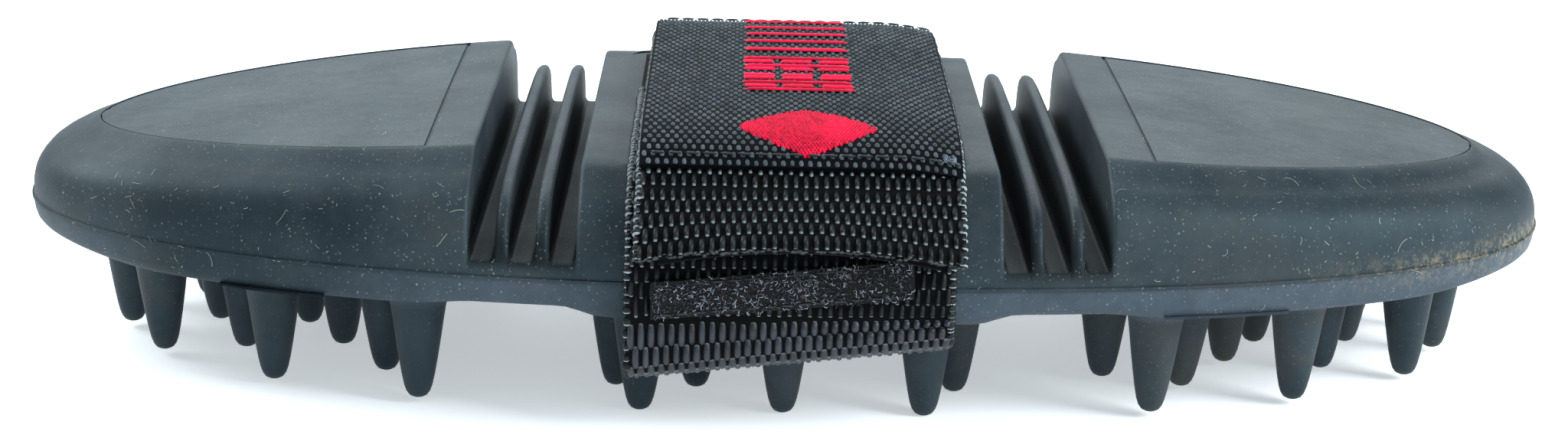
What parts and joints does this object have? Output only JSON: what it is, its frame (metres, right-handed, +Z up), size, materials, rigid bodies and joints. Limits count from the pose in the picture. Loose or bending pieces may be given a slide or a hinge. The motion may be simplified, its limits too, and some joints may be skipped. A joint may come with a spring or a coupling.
{
  "type": "rubber curry brush",
  "caption": "Oval rubber massage curry brush with two flexing wings on slotted living hinges, soft teats underneath and a webbing hand strap with a hook-and-loop end.",
  "frame": {"origin": "on the surface the brush stands on, under the middle of the saddle", "axes": "+X along the brush towards the right wing as seen from the flap side, +Y away from the side where the strap's free end is, +Z up from the teats to the strap"},
  "size_m": [0.2, 0.0961, 0.0364],
  "materials": {
    "rubber": "soft moulded rubber, satin, dusty",
    "webbing": "coarse woven polyester webbing",
    "label": "fine basket weave with a raised red motif",
    "tape": "shiny nylon hook and loop",
    "thread": "polyester sewing thread"
  },
  "bodies": {
    "saddle": {"saddle_block": "rubber", "strap_webbing": "webbing", "woven_label": "label", "hook_tape": "tape", "hook_stitch_lower": "thread", "hook_stitch_upper": "thread", "label_stitch_near": "thread", "label_stitch_far": "thread"},
    "left_inner_segment": {"left_inner_fin": "rubber"},
    "left_outer_segment": {"left_outer_fin": "rubber"},
    "left_wing_body": {"left_wing": "rubber"},
    "right_inner_segment": {"right_inner_fin": "rubber"},
    "right_outer_segment": {"right_outer_fin": "rubber"},
    "right_wing_body": {"right_wing": "rubber"},
    "strap_flap": {"strap_end_flap": "webbing", "loop_tape": "tape"}
  },
  "joints": [
    {"name": "left_flex_inner", "type": "hinge", "parent": "saddle", "child": "left_inner_segment", "pos_m": [-0.02757, 0, 0.01785], "axis": [0, 1, 0], "range_deg": [-12, 12], "stiffness_Nm_per_rad": 2},
    {"name": "left_flex_middle", "type": "hinge", "parent": "left_inner_segment", "child": "left_outer_segment", "pos_m": [-0.03252, 0, 0.01785], "axis": [0, 1, 0], "range_deg": [-12, 12], "stiffness_Nm_per_rad": 2},
    {"name": "left_wing_flex", "type": "hinge", "parent": "left_outer_segment", "child": "left_wing_body", "pos_m": [-0.03748, 0, 0.01785], "axis": [0, 1, 0], "range_deg": [-12, 12], "stiffness_Nm_per_rad": 2},
    {"name": "right_flex_inner", "type": "hinge", "parent": "saddle", "child": "right_inner_segment", "pos_m": [0.02757, 0, 0.01785], "axis": [0, -1, 0], "range_deg": [-12, 12], "stiffness_Nm_per_rad": 2},
    {"name": "right_flex_middle", "type": "hinge", "parent": "right_inner_segment", "child": "right_outer_segment", "pos_m": [0.03252, 0, 0.01785], "axis": [0, -1, 0], "range_deg": [-12, 12], "stiffness_Nm_per_rad": 2},
    {"name": "right_wing_flex", "type": "hinge", "parent": "right_outer_segment", "child": "right_wing_body", "pos_m": [0.03748, 0, 0.01785], "axis": [0, -1, 0], "range_deg": [-12, 12], "stiffness_Nm_per_rad": 2},
    {"name": "flap_peel", "type": "hinge", "parent": "saddle", "child": "strap_flap", "pos_m": [0, -0.041, 0.03036], "axis": [-1, 0, 0], "range_deg": [0, 100]}
  ]
}
